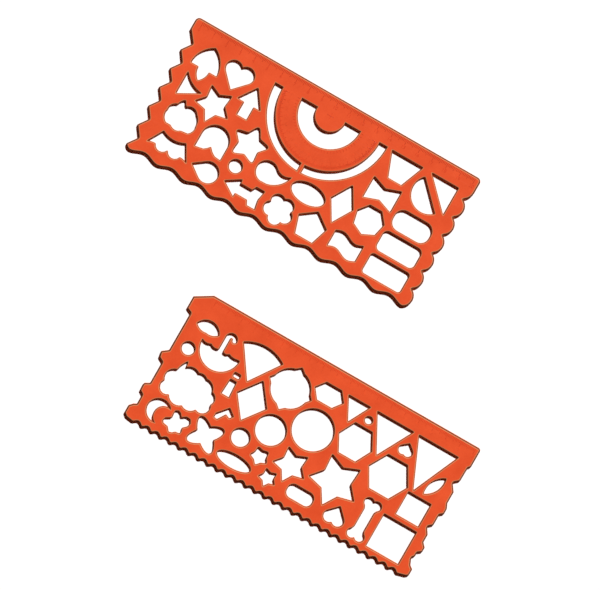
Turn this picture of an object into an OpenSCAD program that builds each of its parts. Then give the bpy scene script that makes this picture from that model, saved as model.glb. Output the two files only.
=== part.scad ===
/* [Sheets] */
// Length of each stencil along its ruler edge
sheet_l = 209.3; // [205:0.1:225]
// Width of each stencil from its ruler edge to the foot of its wavy edge
sheet_w = 95.8; // [94:0.1:105]
// Thickness of the plastic
thickness = 2; // [1:0.1:4]
// How far the shapes stencil lies to the right of the protractor stencil
lay_right = 85.3; // [0:0.1:200]
// How far the shapes stencil lies below the protractor stencil, edge to edge
lay_down = 149.2; // [110:0.1:200]
// Radius that takes the sharpness off the corners of every cut-out
corner_r = 0.5; // [0.2:0.05:0.6]
// Radius that takes the sharpness off the corners along the edges of the sheets
edge_r = 0.8; // [0.4:0.1:1]

/* [Edges of the protractor stencil] */
// Radius of the two corners of the ruler edge
ruler_corner_r = 3; // [1:0.5:4]
// Depth of the plain band below the ruler edge, down to the first notch at the side
plain_band = 17; // [14:0.2:18]
// Points in the zigzag on the left side
zigzag_count = 6; // [4:1:8]
// Depth of the zigzag on the left side
zigzag_depth = 4.9; // [2:0.1:6]
// How far the zigzag's points stay back from the ruler's left end
zigzag_inset = 1; // [0:0.1:2]
// Height of the lowest zigzag point above the foot of the wave
zigzag_foot = 3; // [2:0.1:4]
// Scallops on the right side
scallop_count = 6; // [4:1:8]
// Depth of the scallops on the right side
scallop_depth = 4; // [2:0.1:5]
// Waves along the long edge
wave_count = 10; // [6:1:14]
// Height of a wave from trough to crest
wave_h = 2.8; // [1:0.1:3.2]
// How far the waves start and end from the two ends
wave_margin = 4.7; // [4:0.1:6]

/* [Protractor slots] */
// How far the slots reach up past the protractor's centre
slot_rise = 0.9; // [0:0.1:1]
// Inner radius of the outer slot
outer_slot_in = 35.5; // [33:0.1:37]
// Width of the outer slot
outer_slot_w = 5.5; // [4:0.1:6]
// Width of the bridge that parts the outer slot at its lowest point
slot_bridge = 2.8; // [2:0.1:6]
// Inner radius of the half ring
half_ring_in = 10.3; // [6:0.1:14]
// Width of the half ring
half_ring_w = 11; // [6:0.1:13]

/* [Cut-outs of the protractor stencil] */
// Spade: width and height
spade_size = [18.8, 23.4]; // [10:0.1:24]
// Spade: height of the blade above the stem
spade_blade = 15.4; // [10:0.1:18]
// Spade: width of the stem
spade_stem = 8; // [4:0.1:10]
// Heart: width and height
heart_size = [20, 18.2]; // [14:0.1:21]
// Heart: depth of the notch between the lobes
heart_notch = 2.3; // [0.5:0.1:4]
// Arrow: width and height
arrow_size = [16.8, 21.5]; // [12:0.1:22]
// Arrow: height of the head
arrow_head = 12.2; // [8:0.1:15]
// Arrow: width of the shaft
arrow_shaft = 7.2; // [4:0.1:9]
// Trapezium: top width and height
trapezium_size = [22.8, 16.7]; // [12:0.1:23]
// Trapezium: bottom width
trapezium_foot = 9.8; // [5:0.1:14]
// Right triangle: lengths of the two legs
right_triangle_size = [19.8, 20]; // [12:0.1:21]
// Half disc: radius
half_disc_r = 12.2; // [8:0.1:12.5]
// Pennant: width and height
pennant_size = [14.4, 16]; // [8:0.1:17]
// Pennant: sag of its upper edge
pennant_sag = 1.8; // [0.5:0.1:3]
// Star: radius of the points and of the notches
star_r = [12.5, 6.8]; // [4:0.1:13]
// Round star: radius of the points and of the notches
round_star_r = [13.2, 7.3]; // [5:0.1:14]
// Round star: radius at the ends of its arms
round_star_tip = 1.9; // [1:0.1:2.5]
// Bow tie: width and height
bow_tie_size = [20.1, 15.2]; // [12:0.1:21]
// Bow tie: height of the waist
bow_tie_waist = 8.1; // [4:0.1:12]
// Upper bar: width and height
upper_bar_size = [26.4, 14.1]; // [10:0.1:28]
// Upper bar: corner radius
upper_bar_r = 6; // [2:0.1:6.5]
// Apple: width and height with the stem
apple_size = [20.9, 20.5]; // [14:0.1:22]
// Dome: width and height
dome_size = [18.9, 19.2]; // [14:0.1:20]
// Dome: height of the notch at its foot
dome_notch = 4.7; // [2:0.1:7]
// Small disc: diameter
small_disc_d = 9; // [5:0.1:10]
// Comma: width and height
comma_size = [22.9, 14.4]; // [12:0.1:23]
// Ellipse: width and height
ellipse_size = [23.8, 13.3]; // [10:0.1:24]
// Rhombus: width and height
rhombus_size = [16.2, 27.3]; // [12:0.1:28]
// Heptagon: radius of its corners
heptagon_r = 10; // [6:0.1:10.5]
// Middle bar: width and height
middle_bar_size = [27.8, 14.2]; // [10:0.1:29]
// Middle bar: corner radius
middle_bar_r = 3.6; // [1:0.1:6]
// Bat: width and height
bat_size = [28.6, 12.9]; // [10:0.1:29]
// Drop: width and height
drop_size = [18.9, 14.1]; // [10:0.1:20]
// Tailed arrow: width and height
tailed_arrow_size = [26, 13.2]; // [10:0.1:27]
// Flower: distance of the petals' ends from the centre
flower_r = 10.2; // [6:0.1:10.5]
// Flower: radius of a petal
petal_r = 4.7; // [3:0.1:5]
// Pentagon: radius of its corners
pentagon_r = 10.7; // [6:0.1:11]
// Flag: width and height between its two waves
flag_size = [20.6, 11.3]; // [8:0.1:21]
// Flag: rise of each wave above its middle line
flag_wave = 1.7; // [0.5:0.1:2]
// Lower bar: width and height
lower_bar_size = [28.2, 14.3]; // [10:0.1:29]
// Lower bar: corner radius
lower_bar_r = 2.2; // [1:0.1:6]

/* [Edges of the shapes stencil] */
// Width and height of the slanted corner
slant_size = [11.4, 6.9]; // [3:0.1:14]
// Radius of the corner at the other end of the ruler edge
shapes_corner_r = 2; // [1:0.1:4]
// Ripples along the long edge
ripple_count = 28; // [20:1:32]
// Height of a ripple from trough to crest
ripple_h = 2; // [1:0.1:2.4]
// How far the ripples start and end from the two ends
ripple_margin = 7.4; // [6:0.1:8]
// Depth of the recesses on the left side
recess_depth = 4.6; // [2:0.1:5]
// Depth of the steps on the right side
step_depth = 4.7; // [2:0.1:5]

/* [Cut-outs of the shapes stencil] */
// Eye: width and height
eye_size = [16.2, 9]; // [6:0.1:17]
// Umbrella: radius of the canopy
canopy_r = 13.8; // [10:0.1:14.5]
// Umbrella: height of the handle above the canopy
handle_h = 13.3; // [8:0.1:14]
// Umbrella: width of the handle
handle_w = 3.2; // [2:0.1:4]
// Umbrella: radius of the hook
hook_r = 3.9; // [3:0.1:5]
// Umbrella: sag of each scallop
canopy_sag = 0.9; // [0.3:0.1:1.5]
// Sector: radius
sector_r = 25.6; // [15:0.1:26]
// Sector: opening angle
sector_angle = 69; // [40:1:70]
// Ornament: radius of the round part and of its four points
ornament_r = [13, 15.3]; // [8:0.1:15.5]
// Small hexagon: width and height
small_hexagon_size = [21, 13]; // [8:0.1:22]
// Small hexagon: length of its flat sides
small_hexagon_flat = 11; // [6:0.1:14]
// Middle hexagon: width and height
middle_hexagon_size = [24.1, 22]; // [10:0.1:25]
// Middle hexagon: length of its flat sides
middle_hexagon_flat = 12.4; // [6:0.1:16]
// Large hexagon: width and height
large_hexagon_size = [28.5, 25]; // [10:0.1:29]
// Large hexagon: length of its flat sides
large_hexagon_flat = 14.2; // [6:0.1:18]
// Small triangle: width and height
small_triangle_size = [16.4, 15.6]; // [8:0.1:17]
// Middle triangle: width and height
middle_triangle_size = [27, 25]; // [12:0.1:28]
// Large triangle: width and height
large_triangle_size = [29.2, 33]; // [12:0.1:34]
// Dot: diameter
dot_d = 5.3; // [4.2:0.1:6]
// Little heart: width and height
little_heart_size = [9.8, 8.7]; // [5:0.1:10]
// Little heart: depth of the notch between the lobes
little_heart_notch = 0.5; // [0.3:0.1:2]
// Leaf: length and width
leaf_size = [17.8, 6.6]; // [4:0.1:18]
// Coin: diameter
coin_d = 8.9; // [5:0.1:10]
// Cloud: width and height without its tail
cloud_size = [35.6, 26.4]; // [20:0.1:36]
// Cloud: height of the tail above the cloud
cloud_tail = 2; // [1:0.1:3]
// Flame: width and height
flame_size = [4.6, 3.4]; // [2:0.1:5]
// Flame: corner radius
flame_r = 1; // [0.5:0.1:1]
// Candle: width of the foot and height
candle_size = [5.7, 11]; // [4:0.1:12]
// Candle: width of the top
candle_top = 4.4; // [3:0.1:5]
// Tall rhombus: width and height
tall_rhombus_size = [21.9, 29]; // [12:0.1:30]
// Large disc: diameter
large_disc_d = 27.6; // [15:0.1:28]
// Middle disc: diameter
middle_disc_d = 20.4; // [10:0.1:21]
// Third disc: diameter
third_disc_d = 12.4; // [8:0.1:13]
// Large star: radius of the points and of the notches
large_star_r = [17.5, 10]; // [8:0.1:18]
// Middle star: radius of the points and of the notches
middle_star_r = [12, 6.8]; // [4:0.1:12.5]
// Little star: radius of the points and of the notches
little_star_r = [6.3, 3.8]; // [2:0.1:7]
// Blossom: radius of the points and of the notches
blossom_r = [6.4, 4.3]; // [2:0.1:7]
// Blossom: radius at the ends of its arms
blossom_tip = 1.1; // [0.5:0.1:1.5]
// Small square: side
small_square = 16.7; // [10:0.1:17.5]
// Large square: side
large_square = 23.8; // [12:0.1:25]
// Boomerang: width and height
boomerang_size = [10.9, 10.7]; // [6:0.1:11.5]
// Crescent: radius of the outer and of the inner curve
crescent_r = [7.9, 6.7]; // [5:0.1:8.5]
// Crescent: how far the inner curve lies to the right of and below the outer one
crescent_shift = [4.7, 1.9]; // [0.5:0.1:6]
// Ivy leaf: width and height
ivy_size = [16.3, 15.1]; // [8:0.1:17]
// Ivy leaf: radius at the ends of its lobes
ivy_tip = 0.9; // [0.5:0.1:1.5]
// Cross star: length and width of its two crossed petals
cross_star_petal = [24.7, 9.6]; // [8:0.1:26]
// Almond: width and height
almond_size = [24.4, 9.3]; // [6:0.1:25]
// Short bar: width and height
short_bar_size = [18.4, 9.6]; // [6:0.1:19]
// Short bar: corner radius
short_bar_r = 4; // [1:0.1:4.5]
// Second heart: width and height
second_heart_size = [14.2, 13]; // [8:0.1:14.5]
// Second heart: depth of the notch between the lobes
second_heart_notch = 1.3; // [0.3:0.1:3]
// Bone: width and height
bone_size = [12, 28.9]; // [10:0.1:30]
// Bone: width of the shaft
bone_shaft = 7; // [4:0.1:8]
// Bone: radius of a knuckle
knuckle_r = 3.3; // [2:0.1:3.5]

/* [Hidden] */
PLASTIC = [0.86, 0.25, 0.09];
$fn = 96;
// the places of the cut-outs are given for a sheet of 209.3 by 95.8, and spread with its size
place_scale = [sheet_l / 209.3, sheet_w / 95.8];
// an outline corner blunter than this is left as it is
blunt_corner = 156;
total_l = sheet_l + lay_right;
total_w = sheet_w + lay_down;
wave_pitch = (sheet_l - 2 * wave_margin) / wave_count;
zigzag_pitch = (sheet_w - plain_band - zigzag_foot) / (zigzag_count - 0.5);
scallop_pitch = (sheet_w - plain_band) / scallop_count;
ripple_pitch = (sheet_l - 2 * ripple_margin) / ripple_count;
outer_slot_out = outer_slot_in + outer_slot_w;
half_ring_out = half_ring_in + half_ring_w;

// A sheet is drawn as seen from above: X from its left end, Y down from its ruler edge.
// Outlines run clockwise in that view, so a positive bow swells outwards.
function unit(v) = v / norm(v);
function last(list) = list[len(list) - 1];
function flip(points) = [for (i = [len(points) - 1:-1:0]) [-points[i].x, points[i].y]];
function sized(points, size) = [for (p = points) [p.x * size.x / 2, p.y * size.y / 2]];
function arc(centre, r, from, to, steps = 12) =
    [for (i = [0:steps]) let (a = from + (to - from) * i / steps) centre + r * [cos(a), sin(a)]];

// Points of a circular arc from p up to, but not including, q
function bow(p, q, rise, steps = 8) =
    let (along = unit(q - p), out = [along.y, -along.x], half_l = norm(q - p) / 2,
         r = (half_l * half_l + rise * rise) / (2 * abs(rise)), half_a = asin(min(1, half_l / r)))
    [for (i = [0:steps - 1]) let (a = half_a * (2 * i / steps - 1))
        (p + q) / 2 + along * r * sin(a) + out * sign(rise) * (r * cos(a) - r + abs(rise))];

function distinct(points) =
    [for (i = [0:len(points) - 1]) if (norm(points[i] - points[(i + 1) % len(points)]) > 0.01) points[i]];

// The outline with each real corner turned into a short curve
function eased(points, r = corner_r, steps = 2) =
    let (outline = distinct(points), n = len(outline))
    [for (i = [0:n - 1])
        let (b = outline[i], u = outline[(i + n - 1) % n] - b, v = outline[(i + 1) % n] - b,
             corner = acos(max(-1, min(1, unit(u) * unit(v)))),
             reach = min(r / tan(max(corner, 10) / 2), 0.45 * min(norm(u), norm(v))),
             from = b + unit(u) * reach, to = b + unit(v) * reach)
        each corner > blunt_corner ? [b] :
            [for (k = [0:steps]) let (t = k / steps)
                (1 - t) * (1 - t) * from + 2 * t * (1 - t) * b + t * t * to]];

module put(place, turn = 0)
    translate([place.x * place_scale.x, place.y * place_scale.y]) rotate(turn) children();

module bar(size, r) {
    dx = size.x / 2 - r;
    dy = size.y / 2 - r;
    polygon(concat(arc([dx, -dy], r, -90, 0, 6), arc([dx, dy], r, 0, 90, 6),
                   arc([-dx, dy], r, 90, 180, 6), arc([-dx, -dy], r, 180, 270, 6)));
}

module regular(r, sides, turn)
    polygon(eased([for (i = [0:sides - 1]) r * [cos(turn + 360 * i / sides), sin(turn + 360 * i / sides)]]));

module star(radii, arms, tip_r = corner_r)
    polygon(eased(r = tip_r, steps = tip_r > corner_r ? 4 : 2, points =
        [for (i = [0:2 * arms - 1]) let (a = 90 + 180 * i / arms) radii[i % 2] * [cos(a), sin(a)]]));

module rhombus(size) polygon(eased(sized([[0, -1], [1, 0], [0, 1], [-1, 0]], size)));

module hexagon(size, flat)
    polygon(eased([[-flat / 2, -size.y / 2], [flat / 2, -size.y / 2], [size.x / 2, 0],
                   [flat / 2, size.y / 2], [-flat / 2, size.y / 2], [-size.x / 2, 0]]));

module hanging_triangle(size)
    polygon(eased([[-size.x / 2, 0], [size.x / 2, 0], [0, size.y]]));

module almond(size)
    polygon([for (i = [0:35]) [size.x / 2 * cos(10 * i), size.y / 2 * sin(10 * i)]]);

module heart(size, notch) {
    r = notch + size.x / 2 - sqrt(notch * size.x);
    lobe = [size.x / 2 - r, r - size.y / 2];
    tip = [0, size.y / 2];
    reach = norm(lobe - tip);
    lean = atan2(lobe.y - tip.y, lobe.x - tip.x) + asin(r / reach);
    end = lean + 90;
    start = -180 + acos(lobe.x / r);
    right = arc(lobe, r, start, end, 16);
    polygon(eased(concat(right, [tip], flip(right))));
}

module spade() {
    base = spade_blade - spade_size.y / 2;
    half_w = spade_size.x / 2;
    half_stem = spade_stem / 2;
    stem_h = spade_size.y - spade_blade;
    blade_r = (half_w * half_w + spade_blade * spade_blade) / (2 * half_w);
    stem_r = (half_stem * half_stem + stem_h * stem_h) / (2 * half_stem);
    right = concat(arc([half_w - blade_r, base], blade_r, -asin(spade_blade / blade_r), 0, 8),
                   arc([half_stem - stem_r, base], stem_r, 0, asin(stem_h / stem_r), 6));
    polygon(eased(concat(right, flip([for (i = [1:len(right) - 2]) right[i]]))));
}

module arrow() {
    brow = arrow_head - arrow_size.y / 2;
    right = [[arrow_size.x / 2, brow], [arrow_shaft / 2, brow], [arrow_shaft / 2, arrow_size.y / 2]];
    polygon(eased(concat([[0, -arrow_size.y / 2]], right, flip(right))));
}

module trapezium()
    polygon(eased([[-trapezium_size.x / 2, 0], [trapezium_size.x / 2, 0],
                   [trapezium_foot / 2, trapezium_size.y], [-trapezium_foot / 2, trapezium_size.y]]));

module right_triangle()
    polygon(eased([[-right_triangle_size.x, 0], [0, 0], [0, right_triangle_size.y]]));

module half_disc() polygon(eased(arc([0, 0], half_disc_r, 0, 180, 24)));

module pennant() {
    top = [-pennant_size.x / 2, -pennant_size.y / 2];
    point = [pennant_size.x / 2, 0];
    foot = [-pennant_size.x / 2, pennant_size.y / 2];
    polygon(eased(concat(bow(top, point, -pennant_sag), [point, foot])));
}

module bow_tie() {
    corner = bow_tie_size / 2;
    polygon(eased([[-corner.x, -corner.y], [0, -bow_tie_waist / 2], [corner.x, -corner.y],
                   [corner.x, corner.y], [0, bow_tie_waist / 2], [-corner.x, corner.y]]));
}

module apple() {
    w = apple_size.x / 2;
    h = apple_size.y / 2;
    polygon(eased(concat(
        bow([-0.8 * w, -0.4 * h], [-0.52 * w, -0.5 * h], 0.03 * h, 3),
        bow([-0.52 * w, -0.72 * h], [-0.16 * w, -h], 0.05 * h, 3), [[-0.16 * w, -0.68 * h]],
        bow([-0.05 * w, -0.62 * h], [0.72 * w, -0.5 * h], 0.2 * h),
        bow([0.72 * w, -0.5 * h], [w, 0.1 * h], 0.08 * h),
        bow([w, 0.1 * h], [0.7 * w, 0.86 * h], 0.16 * h), [[0.36 * w, 0.86 * h]],
        bow([0.3 * w, 0.88 * h], [-0.34 * w, 0.88 * h], 0.12 * h), [[-0.4 * w, 0.86 * h]],
        bow([-0.7 * w, 0.86 * h], [-w, 0.1 * h], 0.16 * h),
        bow([-w, 0.1 * h], [-0.8 * w, -0.4 * h], 0.08 * h))));
}

module dome() {
    half_w = dome_size.x / 2;
    shoulder = half_w - dome_size.y / 2;
    foot = dome_size.y / 2;
    gap = 0.55 * half_w;
    lip = foot - 0.02 * dome_size.y;
    sag = 0.1 * dome_notch;
    polygon(eased(concat(arc([0, shoulder], half_w, 180, 360, 20), [[half_w, foot]],
        bow([gap, lip], [0, foot - dome_notch], sag, 4),
        bow([0, foot - dome_notch], [-gap, lip], sag, 4), [[-half_w, foot]])));
}

module comma() {
    w = comma_size.x / 2;
    h = comma_size.y / 2;
    head = [-0.36 * w, 0];
    tail = [w, -0.62 * h];
    neck = head + h * [cos(-50), sin(-50)];
    polygon(eased(concat(arc(head, h, 100, 310, 20), bow(neck, tail, -0.3 * h),
                         bow(tail, head + [0.1 * w, h], 0.27 * w))));
}

module bat() {
    w = bat_size.x / 2;
    h = bat_size.y / 2;
    horn = 0.57 * w;
    shelf = 0.48 * h;
    polygon(eased(concat(bow([-horn, -h], [horn, -h], -0.33 * h), [[horn, -h]],
        bow([w, 0.68 * h], [0.63 * w, shelf], -0.06 * h, 3),
        bow([0.63 * w, shelf], [0, shelf], 0.5 * h, 6),
        bow([0, shelf], [-0.63 * w, shelf], 0.5 * h, 6),
        bow([-0.63 * w, shelf], [-w, 0.68 * h], -0.06 * h, 3),
        [[-w, 0.68 * h]])));
}

module drop() {
    r = drop_size.y / 2;
    reach = drop_size.x - r;
    meet = asin(r / reach) + 90;
    polygon(eased(concat([[-drop_size.x / 2, 0]], arc([drop_size.x / 2 - r, 0], r, -meet, meet, 24))));
}

module tailed_arrow() {
    half = sized([[-1, 0], [-0.24, 0.96], [-0.24, 0.54], [0.42, 0.54], [0.54, 1], [1, 1], [0.9, 0]],
                 tailed_arrow_size);
    upper = [for (i = [len(half) - 2:-1:1]) [half[i].x, -half[i].y]];
    polygon(eased(concat(half, upper)));
}

module flower() {
    for (i = [0:4]) rotate(90 + 72 * i) translate([flower_r - petal_r, 0]) circle(petal_r);
    circle(flower_r - petal_r);
}

module flag() {
    steps = 12;
    function swing(share) = -flag_wave * cos(360 * (share - 0.24));
    polygon(eased(concat(
        [for (i = [0:steps]) [flag_size.x * (i / steps - 0.5), swing(i / steps) - flag_size.y / 2]],
        [for (i = [steps:-1:0]) [flag_size.x * (i / steps - 0.5), swing(i / steps) + flag_size.y / 2]])));
}

module protractor_slots() {
    difference() {
        circle(outer_slot_out);
        circle(outer_slot_in);
        translate([-slot_bridge / 2, 0]) square([slot_bridge, 2 * outer_slot_out]);
        above_the_slots();
    }
    difference() {
        circle(half_ring_out);
        circle(half_ring_in);
        above_the_slots();
    }
}

module above_the_slots() {
    reach = 2 * outer_slot_out;
    translate([-reach, -reach - slot_rise]) square([2 * reach, reach]);
}

module protractor_outline() {
    tip_x = zigzag_inset;
    notch_x = zigzag_inset + zigzag_depth;
    valley_x = sheet_l - scallop_depth;
    r = ruler_corner_r;
    band_end = 0.55 * plain_band;
    lobe_end = [sheet_l - 0.05 * scallop_depth, sheet_w - zigzag_foot - 0.5 * scallop_depth];
    foot_rise = 0.25 * scallop_depth;
    scallops = [for (i = [0:scallop_count - 2])
        each bow([valley_x, plain_band + i * scallop_pitch], [valley_x, plain_band + (i + 1) * scallop_pitch],
                 scallop_depth, 10)];
    wave = [for (i = [wave_count * 12:-1:0]) let (x = wave_margin + i * wave_pitch / 12)
        [x, sheet_w - wave_h / 2 * (1 - cos(30 * i))]];
    zigzag = [for (i = [zigzag_count - 1:-1:0]) let (y = plain_band + i * zigzag_pitch)
        each [[tip_x, y + zigzag_pitch / 2], [notch_x, y]]];
    polygon(eased(r = edge_r, points = concat(
        arc([r, r], r, 180, 270, 6), arc([sheet_l - r, r], r, 270, 360, 6),
        bow([sheet_l, band_end], [valley_x, plain_band], 0.3 * scallop_depth), scallops,
        bow([valley_x, sheet_w - scallop_pitch], lobe_end, 0.4 * scallop_depth),
        bow(lobe_end, wave[0], foot_rise), wave,
        bow(last(wave), [tip_x, sheet_w - zigzag_foot], 0.7 * foot_rise, 4), zigzag, [[0, band_end]])));
}

module protractor_cut_outs() {
    put([20.4, 23.9]) spade();
    put([41.5, 21.2]) heart(heart_size, heart_notch);
    put([56.5, 31.25]) arrow();
    put([105.45, 13]) protractor_slots();
    put([161.55, 12.2]) trapezium();
    put([199, 12.2]) right_triangle();
    put([185.45, 25.35], 45.5) half_disc();
    put([19.7, 41.6]) pennant();
    put([37.4, 43.65]) star(star_r, 5);
    put([69.6, 54.2], 180) star(round_star_r, 5, round_star_tip);
    put([158.8, 39.9]) bow_tie();
    put([185.5, 48.45]) bar(upper_bar_size, upper_bar_r);
    put([23.6, 60.05]) apple();
    put([49, 63.15]) dome();
    put([68.8, 71]) circle(d = small_disc_d);
    put([91.9, 64.1]) comma();
    put([117.7, 63.2]) almond(ellipse_size);
    put([139.6, 58]) rhombus(rhombus_size);
    put([159.8, 58.6]) regular(heptagon_r, 7, 90);
    put([185.5, 65.25]) bar(middle_bar_size, middle_bar_r);
    put([26.1, 80.65]) bat();
    put([53.1, 83.2]) drop();
    put([80.1, 82.4]) tailed_arrow();
    put([106.65, 81.4]) flower();
    put([129.1, 80.6]) regular(pentagon_r, 5, -90);
    put([154.75, 80.2]) flag();
    put([185.65, 82.3]) bar(lower_bar_size, lower_bar_r);
}

module eye() {
    left = [-eye_size.x / 2, 0.13 * eye_size.y];
    right = [eye_size.x / 2, 0.13 * eye_size.y];
    dip = [0, 0.43 * eye_size.y];
    polygon(eased(concat(bow(left, right, 0.63 * eye_size.y, 14), bow(right, dip, 0.13 * eye_size.y, 6),
                         bow(dip, left, 0.13 * eye_size.y, 6))));
}

module umbrella() {
    half_w = handle_w / 2;
    bend = [hook_r - half_w, hook_r - handle_h];
    hook_in = hook_r - handle_w;
    end_r = (hook_r - hook_in) / 2;
    rim = canopy_sag * 0.6;
    left_peak = [-0.53 * canopy_r, -rim];
    right_peak = [0.43 * canopy_r, -rim];
    polygon(eased(concat(
        [[-half_w, 0]], arc(bend, hook_r, 180, 360, 14), arc(bend + [hook_in + end_r, 0], end_r, 0, 180, 6),
        arc(bend, hook_in, 360, 180, 4), bow([half_w, 0], right_peak, -canopy_sag, 5),
        bow(right_peak, [canopy_r, -rim], -canopy_sag, 5), arc([0, 0], canopy_r, 0, 180, 28),
        bow([-canopy_r, -rim], left_peak, -canopy_sag, 5), bow(left_peak, [-half_w, 0], -canopy_sag, 5))));
}

module sector()
    polygon(eased(concat(arc([0, 0], sector_r, -90 - sector_angle / 2, -90 + sector_angle / 2, 16),
                         [[0, 0]])));

module ornament()
    polygon(eased([for (i = [0:3])
        each concat([ornament_r[1] * [cos(90 * i), sin(90 * i)]],
                    arc([0, 0], ornament_r[0], 90 * i + 14, 90 * i + 76, 9))]));

module leaf() {
    ends = [[-leaf_size.x / 2, 0], [leaf_size.x / 2, 0]];
    polygon(eased(concat(bow(ends[0], ends[1], leaf_size.y / 2), bow(ends[1], ends[0], leaf_size.y / 2))));
}

// Each lobe swells out between two neighbouring points of the cloud's edge
module cloud() {
    edge = sized([[-0.475, -0.842], [0.025, -0.902], [0.374, -0.85], [0.778, -0.436], [0.952, 0.15],
                  [0.57, 0.722], [0.065, 0.872], [-0.537, 0.722], [-0.935, 0.218], [-0.71, -0.549]],
                 cloud_size);
    swell = [0.068, 0.041, 0.07, 0.085, 0.15, 0.076, 0.1, 0.165, 0.113] * cloud_size.y;
    tail = [edge[0].x - 0.02 * cloud_size.x, -cloud_size.y / 2 - cloud_tail];
    polygon(eased(concat([for (i = [0:len(edge) - 2]) each bow(edge[i], edge[i + 1], swell[i], 7)],
                         bow(last(edge), tail, 0.02 * cloud_size.y, 4), [tail])));
}

module candle() {
    polygon(eased([[-candle_top / 2, -candle_size.y / 2], [candle_top / 2, -candle_size.y / 2],
                   [candle_size.x / 2, candle_size.y / 2], [-candle_size.x / 2, candle_size.y / 2]]));
}

module boomerang()
    polygon(eased(steps = 3, points = sized(
        [[0.12, -1], [1, -0.3], [0.66, 0.16], [0.1, -0.06], [-0.55, 0.96], [-1, 0.9], [-1, 0.35]],
        boomerang_size)));

module ivy_leaf()
    polygon(eased(r = ivy_tip, steps = 4, points = sized(
        [[-0.53, -0.61], [-0.5, -0.86], [-0.27, -1], [-0.06, -0.9], [0.14, -0.61],
         [0.51, -0.88], [0.84, -0.85], [1, -0.54], [0.94, -0.2], [0.61, 0.15],
         [0.69, 0.43], [0.66, 0.67], [0.3, 0.72], [0.11, 0.91], [-0.16, 1], [-0.46, 0.63],
         [-0.88, 0.55], [-1, 0.36], [-0.92, 0.07], [-0.49, -0.21]], ivy_size)));

module cross_star() {
    almond(cross_star_petal);
    rotate(90) almond(cross_star_petal);
}

module crescent()
    difference() {
        circle(crescent_r[0]);
        translate(crescent_shift) circle(crescent_r[1]);
    }

module bone() {
    half_w = bone_size.x / 2;
    half_h = bone_size.y / 2;
    lobe = [half_w - knuckle_r, -half_h + knuckle_r];
    notch = acos(lobe.x / knuckle_r);
    top = arc(lobe, knuckle_r, notch - 180, 60, 12);
    ankle = [bone_shaft / 2, lobe.y + 1.45 * knuckle_r];
    right = concat(top, [ankle, [ankle.x, -ankle.y]], [for (i = [len(top) - 1:-1:0]) [top[i].x, -top[i].y]]);
    polygon(eased(concat(right, flip(right))));
}

module shapes_outline() {
    w = place_scale.y;
    ripple = [for (i = [ripple_count * 6:-1:0]) [ripple_margin + i * ripple_pitch / 6,
        sheet_w - ripple_h / 2 * (1 - cos(60 * i))]];
    r = shapes_corner_r;
    left_x = 0.32 * recess_depth;
    left = [[0.02, 93], [0.02, 87.6], [0.54, 85.1], [0.94, 84.2], [0.92, 77.6], [0.35, 75.9], [0.3, 71.6],
            [0.42, 70.2], [1.08, 68.5], [1.08, 53.3], [0.37, 51.5], [0.2, 47.4], [1.1, 44.3], [1.1, 17.2],
            [0.32, 15.5]];
    right = [[0, 13.1], [0.3, 14.8], [0.34, 24.4], [1, 27.2], [0.98, 28.4], [0.34, 32.6], [0.34, 40.6],
             [0.02, 44], [0, 47.8], [0.5, 49.7], [0.5, 57.3], [1.04, 59.6], [1.02, 60.8], [0.52, 64.4],
             [0.52, 69.8], [0, 72.4], [0, 75.7], [0.56, 77.6], [0.56, 80.2], [0.84, 81.9], [0.82, 83.2],
             [0.5, 86.6], [0, 88.4], [0, 92.8], [0.35, 94.2]];
    polygon(eased(r = edge_r, points = concat(
        [[left_x, slant_size.y], [left_x + slant_size.x, 0]], arc([sheet_l - r, r], r, 270, 360, 6),
        [for (p = right) [sheet_l - p.x * step_depth, p.y * w]], ripple,
        [[0.52 * recess_depth, sheet_w - edge_r]],
        [for (p = left) [p.x * recess_depth, p.y * w]])));
}

module shapes_cut_outs() {
    put([20.1, 19.5]) eye();
    put([33.9, 28.2]) umbrella();
    put([58.15, 37.3]) sector();
    put([84.5, 27.2]) ornament();
    put([108, 18.5]) hexagon(small_hexagon_size, small_hexagon_flat);
    put([137.35, 36.2]) hexagon(middle_hexagon_size, middle_hexagon_flat);
    put([166.5, 44.75]) hexagon(large_hexagon_size, large_hexagon_flat);
    put([126.7, 11.95]) hanging_triangle(small_triangle_size);
    put([153.1, 11.9]) hanging_triangle(middle_triangle_size);
    put([184.7, 11.8]) hanging_triangle(large_triangle_size);
    put([137.8, 19.9]) circle(d = dot_d);
    put([167.85, 23.95], 180) heart(little_heart_size, little_heart_notch);
    put([195.25, 35.35], -63.7) leaf();
    put([15.2, 37.4]) circle(d = coin_d);
    put([28.55, 59.7]) cloud();
    put([50.8, 37.2]) bar(flame_size, flame_r);
    put([50.45, 46.3]) candle();
    put([67, 46.1]) rhombus(tall_rhombus_size);
    put([110.05, 43]) circle(d = large_disc_d);
    put([86.75, 56.45]) circle(d = middle_disc_d);
    put([72.35, 70.1]) circle(d = third_disc_d);
    put([138.8, 64.1]) star(large_star_r, 5);
    put([109.1, 69.25]) star(middle_star_r, 5);
    put([100.2, 83.7]) star(little_star_r, 5);
    put([89, 74.4]) star(blossom_r, 5, blossom_tip);
    put([190.7, 54.8]) bar([small_square, small_square], corner_r);
    put([187.9, 78.3]) bar([large_square, large_square], corner_r);
    put([56.55, 62.45]) boomerang();
    put([18.5, 81.3]) crescent();
    put([32.05, 82.4]) ivy_leaf();
    put([52.2, 79.85], 47.5) cross_star();
    put([76.2, 85.45]) almond(almond_size);
    put([123.55, 83.2]) bar(short_bar_size, short_bar_r);
    put([149.45, 82.8], 180) heart(second_heart_size, second_heart_notch);
    put([166.85, 76.25]) bone();
}

// Lays a sheet drawn from above, with its ruler edge at the top, into the part's frame
module laid(right, down)
    translate([right - total_l / 2, total_w / 2 - down, 0]) mirror([0, 1, 0])
        linear_extrude(thickness) difference() {
            children(0);
            children(1);
        }

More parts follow.
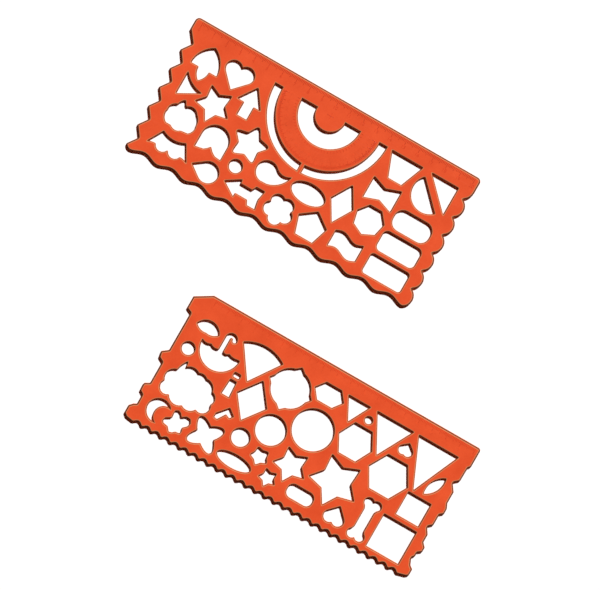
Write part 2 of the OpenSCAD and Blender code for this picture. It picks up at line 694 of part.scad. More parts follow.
module protractor_stencil()
    color(PLASTIC) laid(0, 0) {
        protractor_outline();
        protractor_cut_outs();
    }

module shapes_stencil()
    color(PLASTIC) laid(lay_right, lay_down) {
        shapes_outline();
        shapes_cut_outs();
    }

protractor_stencil();
shapes_stencil();
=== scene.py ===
"""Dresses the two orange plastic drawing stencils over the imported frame.

The sheets are rebuilt from the frame's own outlines with rounded rims, and the ruler and protractor
scales stand on them as a low moulded relief. Lengths in the dataclasses are in millimetres.
"""

import logging
import math
from dataclasses import dataclass
from enum import Enum

import bmesh
import bpy
from mathutils import Matrix, Vector
from mathutils.geometry import delaunay_2d_cdt

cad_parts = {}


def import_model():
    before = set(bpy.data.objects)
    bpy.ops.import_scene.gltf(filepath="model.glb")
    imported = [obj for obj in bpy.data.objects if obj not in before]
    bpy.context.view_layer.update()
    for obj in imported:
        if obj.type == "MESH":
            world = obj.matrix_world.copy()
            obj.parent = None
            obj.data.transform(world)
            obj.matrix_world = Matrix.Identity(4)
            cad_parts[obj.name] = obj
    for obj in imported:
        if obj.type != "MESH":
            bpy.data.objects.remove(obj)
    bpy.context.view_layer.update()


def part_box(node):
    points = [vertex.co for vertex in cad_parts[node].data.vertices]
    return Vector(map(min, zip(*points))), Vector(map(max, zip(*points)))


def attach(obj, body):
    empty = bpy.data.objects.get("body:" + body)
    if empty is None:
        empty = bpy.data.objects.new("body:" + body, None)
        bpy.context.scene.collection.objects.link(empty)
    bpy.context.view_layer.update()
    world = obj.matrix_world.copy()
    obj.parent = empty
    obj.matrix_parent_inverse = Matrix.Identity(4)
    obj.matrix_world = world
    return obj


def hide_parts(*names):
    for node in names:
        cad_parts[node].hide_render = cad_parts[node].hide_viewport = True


LOG = logging.getLogger("stencils")

# One millimetre in metres, and lengths in millimetres.
MM = 0.001
SHEET_LENGTH = 209.3
RELIEF = 0.1
SHORTEST_EDGE = 0.05

# Decimals in metres at which two points of the frame's mesh, or of a moved outline, are one.
MESH_DIGITS = 7
PLACE_DIGITS = 6
# Metres within which a height is the same, and the tolerance of the flat fill.
SAME_HEIGHT = 1e-6
FILL_TOLERANCE = 1e-9
# The smallest share of a mitre's side that a corner may use, and the sine of nearly parallel edges.
MITRE_SHARE = 0.6
PARALLEL_SINE = 0.05

# The scales' longer and longest ticks stand at every fifth and tenth reading.
FIFTH = 5
TENTH = 10
HALF_TURN = 180

Point = tuple[float, float]
Loop = list[Point]
Colour = tuple[float, float, float]


class TickKind(Enum):
    """The three lengths of tick on a ruler edge, in millimetres."""

    MILLIMETRE = 2.0
    HALF = 3.0
    CENTIMETRE = 4.0

    @classmethod
    def at(cls, reading: int) -> "TickKind":
        """Returns the kind of tick at a reading in millimetres."""
        if reading % TENTH == 0:
            return cls.CENTIMETRE
        return cls.HALF if reading % FIFTH == 0 else cls.MILLIMETRE


class DegreeKind(Enum):
    """The three lengths of tick on the protractor, in millimetres."""

    DEGREE = 1.5
    FIVE = 2.4
    TEN = 3.4

    @classmethod
    def at(cls, reading: int) -> "DegreeKind":
        """Returns the kind of tick at a reading in degrees."""
        if reading % TENTH == 0:
            return cls.TEN
        return cls.FIVE if reading % FIFTH == 0 else cls.DEGREE


# ---------------------------------------------------------------- helpers


def add_object(name: str, data: bpy.types.ID) -> bpy.types.Object:
    """Returns a new object with the given data, linked to the scene."""
    made = bpy.data.objects.new(name, data)
    bpy.context.scene.collection.objects.link(made)
    return made


# ---------------------------------------------------------------- finishes


def add_node(tree: bpy.types.NodeTree, kind: str, **values: object) -> bpy.types.Node:
    """Adds a node and sets its inputs by name.

    Args:
        tree: The node tree that gets the node.
        kind: The node's Blender type.
        values: Input values, with underscores for the spaces in socket names.

    Returns:
        The new node.
    """
    node = tree.nodes.new(kind)
    for name, value in values.items():
        node.inputs[name.replace("_", " ")].default_value = value
    return node


@dataclass(frozen=True)
class MouldedMottle:
    """The faint cloudiness that flow and cooling leave in the colour of a moulded sheet.

    Args:
        name: The node group's name.
        scale: Scale of the clouds.
        grain_scale: Scale of the fine grain.
        grain_share: How much of the colour's change is grain.
        cloud: Detail and roughness of the clouds' noise.
        grain: Detail and roughness of the grain's noise.
    """

    name: str = "moulded_mottle"
    scale: float = 60.0
    grain_scale: float = 900.0
    grain_share: float = 0.3
    cloud: Point = (3.0, 0.55)
    grain: Point = (2.0, 0.6)

    def group(self) -> bpy.types.NodeTree:
        """Returns the shared node group, built the first time."""
        if self.name in bpy.data.node_groups:
            return bpy.data.node_groups[self.name]
        tree = bpy.data.node_groups.new(self.name, "ShaderNodeTree")
        face = tree.interface
        for label, value in (("Pale", (1, 1, 1, 1)), ("Deep", (0, 0, 0, 1))):
            face.new_socket(label, in_out="INPUT", socket_type="NodeSocketColor").default_value = value
        for label, value in (
            ("Scale", self.scale), ("Grain Scale", self.grain_scale), ("Grain Share", self.grain_share)
        ):
            face.new_socket(label, in_out="INPUT", socket_type="NodeSocketFloat").default_value = value
        face.new_socket("Colour", in_out="OUTPUT", socket_type="NodeSocketColor")
        face.new_socket("Height", in_out="OUTPUT", socket_type="NodeSocketFloat")
        entry = tree.nodes.new("NodeGroupInput")
        leave = tree.nodes.new("NodeGroupOutput")
        place = tree.nodes.new("ShaderNodeTexCoord")
        cloud = add_node(tree, "ShaderNodeTexNoise", Detail=self.cloud[0], Roughness=self.cloud[1])
        grain = add_node(tree, "ShaderNodeTexNoise", Detail=self.grain[0], Roughness=self.grain[1])
        blend = tree.nodes.new("ShaderNodeMix")
        colour = tree.nodes.new("ShaderNodeMix")
        colour.data_type = "RGBA"
        link = tree.links.new
        link(place.outputs["Object"], cloud.inputs["Vector"])
        link(place.outputs["Object"], grain.inputs["Vector"])
        link(entry.outputs["Scale"], cloud.inputs["Scale"])
        link(entry.outputs["Grain Scale"], grain.inputs["Scale"])
        link(entry.outputs["Grain Share"], blend.inputs["Factor"])
        link(cloud.outputs["Fac"], blend.inputs["A"])
        link(grain.outputs["Fac"], blend.inputs["B"])
        link(blend.outputs["Result"], colour.inputs["Factor"])
        link(entry.outputs["Deep"], colour.inputs["A"])
        link(entry.outputs["Pale"], colour.inputs["B"])
        link(colour.outputs["Result"], leave.inputs["Colour"])
        link(grain.outputs["Fac"], leave.inputs["Height"])
        return tree


@dataclass(frozen=True)
class HandlingScuffs:
    """Fine hairline scuffs that dull the gloss of a sheet kept in a pencil case.

    Args:
        name: The node group's name.
        smooth: Roughness between the scuffs.
        dull: Roughness in them.
        scale: Scale of the noise that they are cut from.
        amount: How far they show.
        runs: The scuffs' two directions, each with its turn and how far it is stretched.
        detail: Detail of the noise.
        cut: The noise values between which a scuff fades in.
    """

    name: str = "handling_scuffs"
    smooth: float = 0.3
    dull: float = 0.5
    scale: float = 70.0
    amount: float = 0.5
    runs: tuple[Point, Point] = ((0.5, 22.0), (1.9, 30.0))
    detail: float = 2.0
    cut: Point = (0.62, 0.76)

    def group(self) -> bpy.types.NodeTree:
        """Returns the shared node group, built the first time."""
        if self.name in bpy.data.node_groups:
            return bpy.data.node_groups[self.name]
        tree = bpy.data.node_groups.new(self.name, "ShaderNodeTree")
        face = tree.interface
        for label, value in (
            ("Smooth", self.smooth), ("Dull", self.dull), ("Scale", self.scale), ("Amount", self.amount)
        ):
            face.new_socket(label, in_out="INPUT", socket_type="NodeSocketFloat").default_value = value
        for label in ("Roughness", "Height"):
            face.new_socket(label, in_out="OUTPUT", socket_type="NodeSocketFloat")
        entry = tree.nodes.new("NodeGroupInput")
        leave = tree.nodes.new("NodeGroupOutput")
        place = tree.nodes.new("ShaderNodeTexCoord")
        link = tree.links.new
        hairs = None
        for turn, stretch in self.runs:
            spin = add_node(
                tree, "ShaderNodeMapping", Rotation=(0.0, 0.0, turn), Scale=(1.0, stretch, 1.0)
            )
            noise = add_node(tree, "ShaderNodeTexNoise", Detail=self.detail)
            keep = add_node(tree, "ShaderNodeMapRange", From_Min=self.cut[0], From_Max=self.cut[1])
            link(place.outputs["Object"], spin.inputs["Vector"])
            link(spin.outputs["Vector"], noise.inputs["Vector"])
            link(entry.outputs["Scale"], noise.inputs["Scale"])
            link(noise.outputs["Fac"], keep.inputs["Value"])
            if hairs is None:
                hairs = keep.outputs["Result"]
            else:
                most = tree.nodes.new("ShaderNodeMath")
                most.operation = "MAXIMUM"
                link(hairs, most.inputs[0])
                link(keep.outputs["Result"], most.inputs[1])
                hairs = most.outputs["Value"]
        share = tree.nodes.new("ShaderNodeMath")
        share.operation = "MULTIPLY"
        rough = tree.nodes.new("ShaderNodeMix")
        link(hairs, share.inputs[0])
        link(entry.outputs["Amount"], share.inputs[1])
        link(share.outputs["Value"], rough.inputs["Factor"])
        link(entry.outputs["Smooth"], rough.inputs["A"])
        link(entry.outputs["Dull"], rough.inputs["B"])
        link(rough.outputs["Result"], leave.inputs["Roughness"])
        link(share.outputs["Value"], leave.inputs["Height"])
        return tree


@dataclass(frozen=True)
class OrangePlastic:
    """Orange plastic, moulded in one colour all through.

    Args:
        name: The material's name.
        pale: The colour where the mottle is palest.
        deep: The colour where it is deepest.
        gloss: Strength of the reflections.
        smooth: Roughness between the scuffs.
        dull: Roughness in the scuffs.
        scuffs: How far the scuffs show.
        grain_share: How much of the colour's change is fine grain.
        bump: Strength of the grain and the scuffs as bumps.
        bump_depth: Their depth, in millimetres.
        ior: Refractive index of the plastic.
    """

    name: str
    pale: Colour
    deep: Colour
    gloss: float = 0.45
    smooth: float = 0.3
    dull: float = 0.5
    scuffs: float = 0.6
    grain_share: float = 0.3
    bump: float = 0.15
    bump_depth: float = 0.02
    ior: float = 1.52

    def material(self) -> bpy.types.Material:
        """Returns the material, built the first time."""
        if self.name in bpy.data.materials:
            return bpy.data.materials[self.name]
        material = bpy.data.materials.new(self.name)
        material.use_nodes = True
        tree = material.node_tree
        shader = tree.nodes["Principled BSDF"]
        shader.inputs["IOR"].default_value = self.ior
        shader.inputs["Specular IOR Level"].default_value = self.gloss
        mottle = tree.nodes.new("ShaderNodeGroup")
        mottle.node_tree = MouldedMottle().group()
        mottle.inputs["Pale"].default_value = (*self.pale, 1.0)
        mottle.inputs["Deep"].default_value = (*self.deep, 1.0)
        mottle.inputs["Grain Share"].default_value = self.grain_share
        scuff = tree.nodes.new("ShaderNodeGroup")
        scuff.node_tree = HandlingScuffs().group()
        scuff.inputs["Smooth"].default_value = self.smooth
        scuff.inputs["Dull"].default_value = self.dull
        scuff.inputs["Amount"].default_value = self.scuffs
        relief = tree.nodes.new("ShaderNodeMath")
        relief.operation = "SUBTRACT"
        bump = add_node(tree, "ShaderNodeBump", Strength=self.bump, Distance=self.bump_depth * MM)
        link = tree.links.new
        link(mottle.outputs["Colour"], shader.inputs["Base Color"])
        link(scuff.outputs["Roughness"], shader.inputs["Roughness"])
        link(mottle.outputs["Height"], relief.inputs[0])
        link(scuff.outputs["Height"], relief.inputs[1])
        link(relief.outputs["Value"], bump.inputs["Height"])
        link(bump.outputs["Normal"], shader.inputs["Normal"])
        return material


FACE_PLASTIC = OrangePlastic("orange_face", pale=(0.89, 0.116, 0.033), deep=(0.59, 0.053, 0.012))
# Paler tan copy of the plastic for the slope round every edge: a painted highlight along the rounded rim,
# not a colour the plastic has.
PAINTED_HIGHLIGHT_RIM_PLASTIC = OrangePlastic(
    "orange_rim", pale=(0.65, 0.22, 0.09), deep=(0.57, 0.19, 0.076), gloss=0.3, smooth=0.85, dull=0.9
)
# Dark brown copy of the plastic for the steep lip of every edge: painted shade, a thin dark line drawn
# along the edges.
PAINTED_SHADE_LIP_PLASTIC = OrangePlastic(
    "orange_lip", pale=(0.18, 0.052, 0.022), deep=(0.14, 0.04, 0.016), gloss=0.1, smooth=0.85, dull=0.9
)
# Darker copy of the plastic for the upright walls: painted shade on the walls, which the face's plastic
# does not have.
PAINTED_SHADE_WALL_PLASTIC = OrangePlastic(
    "orange_wall", pale=(0.56, 0.105, 0.026), deep=(0.42, 0.08, 0.019), gloss=0.1, smooth=0.8, dull=0.9
)
MARK_PLASTIC = OrangePlastic(
    "orange_marks", pale=(0.53, 0.046, 0.014), deep=(0.41, 0.030, 0.008), scuffs=0.9
)
FINE_PLASTIC = OrangePlastic(
    "orange_fine_marks", pale=(0.73, 0.068, 0.018), deep=(0.54, 0.040, 0.009), scuffs=0.9
)

# The order of a sheet's materials, and the place of the numbers' material after that of the ticks. The
# lip and wall finishes carry painted shade, the rim finish a painted highlight.
SHEET_FINISHES = (FACE_PLASTIC, PAINTED_HIGHLIGHT_RIM_PLASTIC, PAINTED_SHADE_LIP_PLASTIC, PAINTED_SHADE_WALL_PLASTIC)
FACE, RIM, LIP, WALL = range(len(SHEET_FINISHES))
NUMERALS = 1


@dataclass(frozen=True)
class PaleFloor:
    """The plain white surface that the stencils lie on."""

    name: str = "pale_floor"
    colour: Colour = (0.97, 0.97, 0.97)
    roughness: float = 0.9

    def material(self) -> bpy.types.Material:
        """Returns the floor's material."""
        material = bpy.data.materials.new(self.name)
        material.use_nodes = True
        shader = material.node_tree.nodes["Principled BSDF"]
        shader.inputs["Base Color"].default_value = (*self.colour, 1.0)
        shader.inputs["Roughness"].default_value = self.roughness
        shader.inputs["Specular IOR Level"].default_value = 0.0
        return material


# ---------------------------------------------------------------- outlines


def top_loops(node: bpy.types.Object) -> list[Loop]:
    """Reads the outlines of a flat sheet from the frame's mesh.

    Args:
        node: The frame's object for the sheet.

    Returns:
        Closed outlines in metres, each with the plastic on its left. The first is the outer one.
    """
    mesh = node.data
    top = max(v.co.z for v in mesh.vertices)
    key = [
        (round(v.co.x, MESH_DIGITS), round(v.co.y, MESH_DIGITS)) if v.co.z > top - SAME_HEIGHT else None
        for v in mesh.vertices
    ]
    mesh.calc_loop_triangles()
    edges: dict[tuple[Point, Point], bool] = {}
    for tri in mesh.loop_triangles:
        corners = [key[i] for i in tri.vertices]
        if None in corners:
            continue
        for a, b in zip(corners, corners[1:] + corners[:1]):
            if (b, a) in edges:
                del edges[(b, a)]
            else:
                edges[(a, b)] = True
    follow = {a: b for a, b in edges}
    loops: list[Loop] = []
    while follow:
        start = next(iter(follow))
        loop = [start]
        at = follow.pop(start)
        while at != start:
            loop.append(at)
            at = follow.pop(at)
        loops.append(loop)
    loops.sort(key=lambda loop: -abs(signed_area(loop)))
    return loops


def signed_area(loop: Loop) -> float:
    """Returns the area of a closed outline, positive where it runs counter-clockwise."""
    return 0.5 * sum(a[0] * b[1] - b[0] * a[1] for a, b in zip(loop, loop[1:] + loop[:1]))


def inset(loop: Loop, reach: float) -> Loop:
    """Moves an outline towards the plastic on its left.

    Args:
        loop: The outline.
        reach: How far it moves, in metres.

    Returns:
        The moved outline, point for point. Points that a tight bend would turn round share a place.
    """
    if reach == 0.0:
        return loop
    count = len(loop)
    at = [Vector(point) for point in loop]
    along = [(at[(i + 1) % count] - at[i]).normalized() for i in range(count)]
    moved: list[Vector] = []
    for i in range(count):
        before, after = along[i - 1], along[i]
        side = Vector((-before.y - after.y, before.x + after.x)).normalized()
        share = max(side.dot(Vector((-after.y, after.x))), MITRE_SHARE)
        moved.append(at[i] + side * reach / share)
    groups = [[i, i] for i in range(count)]
    turned = 0
    while turned is not None:
        turned = None
        for k, (first, last) in enumerate(groups):
            start, end = groups[(k + 1) % len(groups)]
            if along[last].dot(moved[start] - moved[last]) < SHORTEST_EDGE * MM and len(groups) > 3:
                turned = k
                break
        if turned is not None:
            groups[turned] = [first, end]
            del groups[(turned + 1) % len(groups)]
            corner = meeting(at[first], along[first - 1], at[end], along[end], reach)
            for i in range(first, first + (end - first) % count + 1):
                moved[i % count] = corner
    return [(point.x, point.y) for point in moved]


def meeting(start: Vector, before: Vector, end: Vector, after: Vector, reach: float) -> Vector:
    """Finds where the moved edges on the two sides of a tight bend meet.

    Args:
        start: The bend's first point.
        before: Direction of the edge that comes to it.
        end: The bend's last point.
        after: Direction of the edge that leaves it.
        reach: How far the edges move to their left, in metres.

    Returns:
        The meeting point, or the middle between the moved ends where the edges are parallel.
    """
    a = start + Vector((-before.y, before.x)) * reach
    b = end + Vector((-after.y, after.x)) * reach
    cross = before.x * after.y - before.y * after.x
    if abs(cross) < PARALLEL_SINE:
        return (a + b) / 2
    gap = b - a
    return a + before * ((gap.x * after.y - gap.y * after.x) / cross)


def inside(x: float, y: float, loop: Loop) -> bool:
    """Returns whether a point lies inside a closed outline."""
    found = False
    for (ax, ay), (bx, by) in zip(loop, loop[1:] + loop[:1]):
        if (ay > y) != (by > y) and x < (bx - ax) * (y - ay) / (by - ay) + ax:
            found = not found
    return found


# ---------------------------------------------------------------- the sheets


@dataclass
class StencilSheet:
    """One flat moulded sheet with its cut-outs.

    Args:
        node: The frame's node and body for the sheet.
        draft: How far the mould's draft narrows the cut-outs from the face to the underside.
        outer_draft: How far it draws the outer edge in from the underside to the face.
        foot_r: Size of the small edge break on the underside.
        wall_drop: How far below the face the upright wall ends; the wall carries painted shade.
        lip: Inset and depth below the face where the steep lip ends; its band carries painted shade.
        slope: Inset and depth below the face where the slope ends; its band carries a painted highlight.
        flat_start: Inset at which the face is flat.
        outer_lip: How much wider the lip is along the outer edge.
    """

    node: str
    draft: float = 0.35
    outer_draft: float = 0.2
    foot_r: float = 0.12
    wall_drop: float = 0.35
    lip: Point = (0.25, 0.06)
    slope: Point = (0.7, 0.005)
    flat_start: float = 0.73
    outer_lip: float = 0.55

    def profile(self, top: float, outer: bool) -> list[tuple[float, float, int]]:
        """Returns an edge's section from the underside to the face.

        Args:
            top: Height of the face, in metres.
            outer: Whether the edge is the sheet's outer one and not a cut-out's.

        Returns:
            Rings of inset and height in metres, each with the material of the band below it.
        """
        foot, brim = (0.0, self.outer_draft) if outer else (-self.draft, 0.0)
        wide = brim + (self.outer_lip if outer else 0.0)
        # The wall and lip bands are dressed in painted shade, the slope band in a painted highlight.
        return [
            ((foot + self.foot_r) * MM, 0.0, WALL),
            (foot * MM, self.foot_r * MM, WALL),
            (brim * MM, top - self.wall_drop * MM, WALL),
            ((wide + self.lip[0]) * MM, top - self.lip[1] * MM, LIP),
            ((wide + self.slope[0]) * MM, top - self.slope[1] * MM, RIM),
            ((wide + self.flat_start) * MM, top, FACE),
        ]

    def flat(self, bm: bmesh.types.BMesh, rings: list[list[bmesh.types.BMVert]], upward: bool) -> None:
        """Fills the space between outlines with triangles.

        Args:
            bm: The mesh under construction.
            rings: The outlines' vertices, the outer one first.
            upward: Whether the faces look up.
        """
        verts = [v for ring in rings for v in ring]
        flat = [Vector((v.co.x, v.co.y)) for v in verts]
        height = verts[0].co.z
        loops = [[(v.co.x, v.co.y) for v in ring] for ring in rings]
        edges = []
        first = 0
        for ring in rings:
            count = len(ring)
            edges += [(first + i, first + (i + 1) % count) for i in range(count)]
            first += count
        points, _, faces, origins, _, _ = delaunay_2d_cdt(flat, edges, [], 0, FILL_TOLERANCE)
        made: dict[int, bmesh.types.BMVert] = {}
        for i, point in enumerate(points):
            source = [o for o in origins[i] if o < len(verts)]
            made[i] = verts[source[0]] if source else bm.verts.new((point.x, point.y, height))
        for face in faces:
            x = sum(points[i].x for i in face) / len(face)
            y = sum(points[i].y for i in face) / len(face)
            if not inside(x, y, loops[0]) or any(inside(x, y, loop) for loop in loops[1:]):
                continue
            corners = [made[i] for i in face]
            bm.faces.new(corners if upward else corners[::-1])

    def ring(self, bm: bmesh.types.BMesh, loop: Loop, height: float) -> list[bmesh.types.BMVert]:
        """Adds an outline's vertices, one for each place.

        Args:
            bm: The mesh under construction.
            loop: The outline.
            height: Its height, in metres.

        Returns:
            A vertex for each point of the outline. Points at one place share theirs.
        """
        made: dict[Point, bmesh.types.BMVert] = {}
        places = [(round(x, PLACE_DIGITS), round(y, PLACE_DIGITS)) for x, y in loop]
        for place, (x, y) in zip(places, loop):
            if place not in made:
                made[place] = bm.verts.new((x, y, height))
        return [made[place] for place in places]

    def build(self) -> bpy.types.Object:
        """Returns the sheet, built over its node."""
        source = bpy.data.objects[self.node]
        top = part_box(self.node)[1].z - RELIEF * MM
        loops = top_loops(source)
        bm = bmesh.new()
        face_rings, foot_rings = [], []
        for loop in loops:
            rings = self.profile(top, outer=not face_rings)
            columns = [self.ring(bm, inset(loop, reach), height) for reach, height, _ in rings]
            count = len(loop)
            for low, high, (_, _, finish) in zip(columns, columns[1:], rings[1:]):
                for i in range(count):
                    k = (i + 1) % count
                    corners = list(dict.fromkeys((low[i], low[k], high[k], high[i])))
                    if len(corners) > 2 and bm.faces.get(corners) is None:
                        wall = bm.faces.new(corners)
                        wall.material_index = finish
                        wall.smooth = True
            foot_rings.append(list(dict.fromkeys(columns[0])))
            face_rings.append(list(dict.fromkeys(columns[-1])))
        self.flat(bm, face_rings, True)
        self.flat(bm, foot_rings, False)
        bm.normal_update()
        mesh = bpy.data.meshes.new(self.node + "_sheet")
        bm.to_mesh(mesh)
        bm.free()
        piece = add_object(self.node + "_sheet", mesh)
        LOG.info("%s: %d outlines, %d faces", piece.name, len(loops), len(mesh.polygons))
        return piece

    def dress(self, piece: bpy.types.Object) -> None:
        """Gives the sheet its materials and seats it on its body."""
        for finish in SHEET_FINISHES:
            piece.data.materials.append(finish.material())
        soften = piece.modifiers.new("weighted_normals", "WEIGHTED_NORMAL")
        soften.keep_sharp = True
        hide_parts(self.node)
        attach(piece, self.node)


# ---------------------------------------------------------------- the scales


@dataclass
class Relief:
    """Raised marks on one sheet, gathered into one mesh.

    Args:
        name: The piece's name.
        node: The frame's node and body that carries the marks.
        height: How far the ticks stand above the face.
        numeral_height: How far the numbers stand above it.
        slope: How far the ticks' sides lean in.
        tick_finish: The ticks' finish.
        numeral_finish: The numbers' finish.
        curve_steps: Steps in each curve of a digit.
    """

    name: str
    node: str
    height: float = RELIEF
    numeral_height: float = RELIEF / 2
    slope: float = 0.04
    tick_finish: OrangePlastic = MARK_PLASTIC
    numeral_finish: OrangePlastic = FINE_PLASTIC
    curve_steps: int = 3

    def __post_init__(self) -> None:
        """Opens the mesh and finds the face that the marks stand on."""
        self.mesh = bmesh.new()
        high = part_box(self.node)[1]
        self.face = high.z - RELIEF * MM
        self.left = high.x - SHEET_LENGTH * MM
        self.edge = high.y

    def bar(self, centre: Vector, along: Vector, length: float, width: float) -> None:
        """Adds a straight raised bar.

        Args:
            centre: The middle of the bar, in metres.
            along: Its direction.
            length: Its length, in metres.
            width: Its width, in metres.
        """
        across = Vector((-along.y, along.x))
        rows = []
        for lean, height in ((0.0, self.face), (self.slope * MM, self.face + self.height * MM)):
            half_l, half_w = length / 2 - lean, width / 2 - lean
            rows.append([
                self.mesh.verts.new((*(centre + along * half_l * u + across * half_w * v), height))
                for u, v in ((-1, -1), (1, -1), (1, 1), (-1, 1))
            ])
        low, high = rows
        for i in range(4):
            k = (i + 1) % 4
            self.mesh.faces.new((low[i], low[k], high[k], high[i]))
        self.mesh.faces.new(high)

    def numeral(self, text: str, centre: Vector, size: float, turn: float) -> None:
        """Adds a raised number.

        Args:
            text: The digits.
            centre: The middle of the number, in metres.
            size: The type size, in metres.
            turn: The angle of its baseline, in radians.
        """
        curve = bpy.data.curves.new(f"{self.name}_{text}", "FONT")
        curve.body = text
        curve.size = size
        curve.align_x = "CENTER"
        curve.align_y = "CENTER"
        curve.resolution_u = self.curve_steps
        curve.extrude = self.numeral_height * MM / 2
        holder = add_object(curve.name, curve)
        graph = bpy.context.evaluated_depsgraph_get()
        shape = bpy.data.meshes.new_from_object(holder.evaluated_get(graph))
        middle = (min(v.co.y for v in shape.vertices) + max(v.co.y for v in shape.vertices)) / 2
        centred = Matrix.Translation((0, -middle, 0))
        lift = Vector((centre.x, centre.y, self.face + self.numeral_height * MM / 2))
        shape.transform(Matrix.Translation(lift) @ Matrix.Rotation(turn, 4, "Z") @ centred)
        ticks = len(self.mesh.faces)
        self.mesh.from_mesh(shape)
        self.mesh.faces.ensure_lookup_table()
        for face in self.mesh.faces[ticks:]:
            face.material_index = NUMERALS
        bpy.data.objects.remove(holder)
        bpy.data.curves.remove(curve)
        bpy.data.meshes.remove(shape)

    def finish(self) -> bpy.types.Object:
        """Closes the mesh, dresses it and seats it on its body.

        Returns:
            The finished piece.
        """
        mesh = bpy.data.meshes.new(self.name)
        self.mesh.to_mesh(mesh)
        self.mesh.free()
        for finish in (self.tick_finish, self.numeral_finish):
            mesh.materials.append(finish.material())
        piece = add_object(self.name, mesh)
        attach(piece, self.node)
        LOG.info("%s: %d faces", piece.name, len(mesh.polygons))
        return piece


@dataclass
class RulerScale:
    """The centimetre scale along a ruler edge.

    Args:
        node: The frame's node that carries the scale.
        zero: Distance of the zero mark from the sheet's left end.
        centimetres: The highest reading.
        margin: Distance of the ticks' upper ends from the ruler edge.
        line: Width of a tick.
        numeral_y: Distance of the numbers' middles from the ruler edge.
        numeral_size: Type size of the numbers.
        tick_finish: The ticks' finish.
        numeral_finish: The numbers' finish.
    """

    node: str
    zero: float
    centimetres: int
    margin: float = 1.5
    line: float = 0.32
    numeral_y: float = 6.9
    numeral_size: float = 3.2
    tick_finish: OrangePlastic = MARK_PLASTIC
    numeral_finish: OrangePlastic = FINE_PLASTIC

    def build(self) -> bpy.types.Object:
        """Returns the finished scale."""
        relief = Relief(
            self.node + "_ruler_marks",
            self.node,
            tick_finish=self.tick_finish,
            numeral_finish=self.numeral_finish,
        )
        down = Vector((0.0, -1.0))
        for i in range(self.centimetres * TENTH + 1):
            kind = TickKind.at(i)
            x = relief.left + (self.zero + i) * MM
            middle = Vector((x, relief.edge - (self.margin + kind.value / 2) * MM))
            relief.bar(middle, down, kind.value * MM, self.line * MM)
            if kind is TickKind.CENTIMETRE:
                spot = Vector((x, relief.edge - self.numeral_y * MM))
                relief.numeral(str(i // TENTH), spot, self.numeral_size * MM, 0.0)
        return relief.finish()


@dataclass
class ProtractorScale:
    """The half circle of degrees between the two rings of slots.

    Args:
        node: The frame's node that carries the scale.
        centre: The protractor's centre, from the sheet's left end and down from its ruler edge.
        tick_out: Radius of the ticks' outer ends.
        inner_in: Radius of the inner ticks' inner ends.
        inner_length: Length of the inner ticks.
        numeral_r: Radius of the numbers' middles.
        numeral_size: Type size of the numbers.
        line: Width of a tick.
        hub: Half length of the centre mark's two lines.
    """

    node: str = "protractor_stencil"
    centre: Point = (105.45, 13.0)
    tick_out: float = 33.7
    inner_in: float = 22.5
    inner_length: float = 1.6
    numeral_r: float = 28.6
    numeral_size: float = 2.8
    line: float = 0.2
    hub: float = 2.5

    def build(self) -> bpy.types.Object:
        """Returns the finished scale."""
        relief = Relief(
            self.node + "_degree_marks", self.node, tick_finish=FINE_PLASTIC, numeral_finish=FACE_PLASTIC
        )
        centre = Vector((relief.left + self.centre[0] * MM, relief.edge - self.centre[1] * MM))
        for degree in range(HALF_TURN + 1):
            kind = DegreeKind.at(degree)
            turn = math.radians(HALF_TURN + degree)
            out = Vector((math.cos(turn), math.sin(turn)))
            length = kind.value
            relief.bar(centre + out * (self.tick_out - length / 2) * MM, out, length * MM, self.line * MM)
            if kind is not DegreeKind.DEGREE:
                middle = self.inner_in + self.inner_length / 2
                relief.bar(centre + out * middle * MM, out, self.inner_length * MM, self.line * MM)
            if kind is DegreeKind.TEN:
                spot = centre + out * self.numeral_r * MM
                relief.numeral(str(degree), spot, self.numeral_size * MM, turn - math.pi / 2)
        for along in (Vector((1.0, 0.0)), Vector((0.0, 1.0))):
            relief.bar(centre, along, 2 * self.hub * MM, self.line * MM)
        return relief.finish()


# ---------------------------------------------------------------- the studio


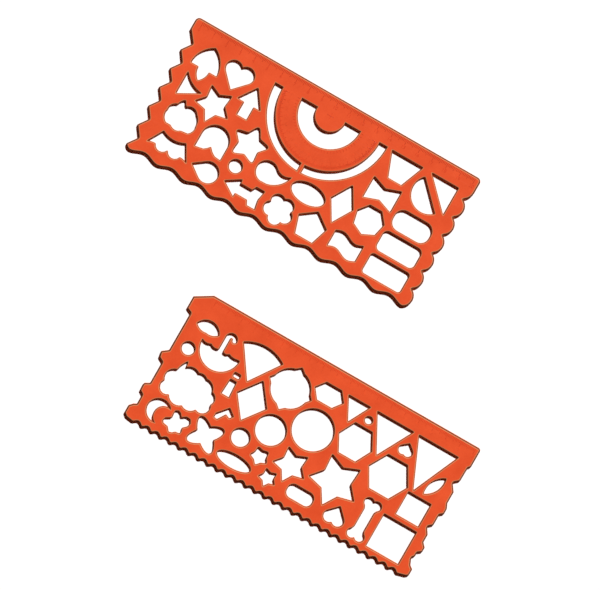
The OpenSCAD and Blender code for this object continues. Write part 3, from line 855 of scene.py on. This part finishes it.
@dataclass
class Studio:
    """The floor, the lamps and the camera.

    Args:
        turn: How far the camera is turned about the vertical, in degrees.
        middle: The point under the picture's centre.
        view_width: Width of the picture on the sheets' faces.
        lens: Focal length.
        sensor: Width of the sensor.
        sun_fall: How far the key light falls for its drift.
        sun_drift: How far it moves sideways meanwhile, along X and Y.
        sun_strength: Strength of the key light.
        sun_angle: Apparent size of the key light, in degrees.
        fill: Strength of the light from all round.
        fill_colour: Its colour.
        floor_half: Half the length of the floor's sides, in metres.
        floor_drop: How far the floor lies under the sheets.
        sight: How far the camera sees, in metres.
    """

    turn: float = 29.9
    middle: Point = (-2.03, 0.94)
    view_width: float = 382.2
    lens: float = 135.0
    sensor: float = 36.0
    sun_fall: float = 2.0
    sun_drift: Point = (-0.25, -2.15)
    sun_strength: float = 4.9
    sun_angle: float = 5.0
    fill: float = 0.06
    fill_colour: Colour = (1.0, 0.14, 0.05)
    floor_half: float = 6.0
    floor_drop: float = 0.02
    sight: float = 10.0

    def floor(self) -> None:
        """Lays the pale floor just under the sheets."""
        mesh = bpy.data.meshes.new("floor")
        half = self.floor_half
        mesh.from_pydata(
            [(-half, -half, 0), (half, -half, 0), (half, half, 0), (-half, half, 0)], [], [(0, 1, 2, 3)]
        )
        mesh.materials.append(PaleFloor().material())
        floor = add_object("floor", mesh)
        floor.location.z = -self.floor_drop * MM

    def lamps(self) -> None:
        """Adds the key light and the light from all round."""
        lamp = bpy.data.lights.new("key", "SUN")
        lamp.energy = self.sun_strength
        lamp.angle = math.radians(self.sun_angle)
        key = add_object("key", lamp)
        fall = Vector((*self.sun_drift, -self.sun_fall))
        key.rotation_euler = fall.to_track_quat("-Z", "Y").to_euler()
        world = bpy.data.worlds.new("fill")
        world.use_nodes = True
        back = world.node_tree.nodes["Background"]
        back.inputs["Color"].default_value = (*self.fill_colour, 1.0)
        back.inputs["Strength"].default_value = self.fill
        bpy.context.scene.world = world

    def camera(self) -> None:
        """Places the camera straight above the sheets."""
        data = bpy.data.cameras.new("camera")
        data.lens = self.lens
        data.sensor_width = self.sensor
        data.clip_end = self.sight
        camera = add_object("camera", data)
        height = self.lens / self.sensor * self.view_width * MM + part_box("shapes_stencil")[1].z
        camera.location = (self.middle[0] * MM, self.middle[1] * MM, height)
        camera.rotation_euler = (0.0, 0.0, math.radians(self.turn))
        bpy.context.scene.camera = camera

    def build(self) -> None:
        """Builds the whole studio."""
        self.floor()
        self.lamps()
        self.camera()
        bpy.context.scene.view_settings.view_transform = "Standard"
        LOG.info("studio: floor, key light, fill and camera")


def main() -> None:
    logging.basicConfig(level=logging.INFO)
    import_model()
    Studio().build()
    for sheet in (StencilSheet("protractor_stencil"), StencilSheet("shapes_stencil")):
        sheet.dress(sheet.build())
    RulerScale("protractor_stencil", zero=5.3, centimetres=20).build()
    RulerScale(
        "shapes_stencil", zero=15.9, centimetres=19, tick_finish=FINE_PLASTIC, numeral_finish=FACE_PLASTIC
    ).build()
    ProtractorScale().build()


if __name__ == "__main__":
    main()
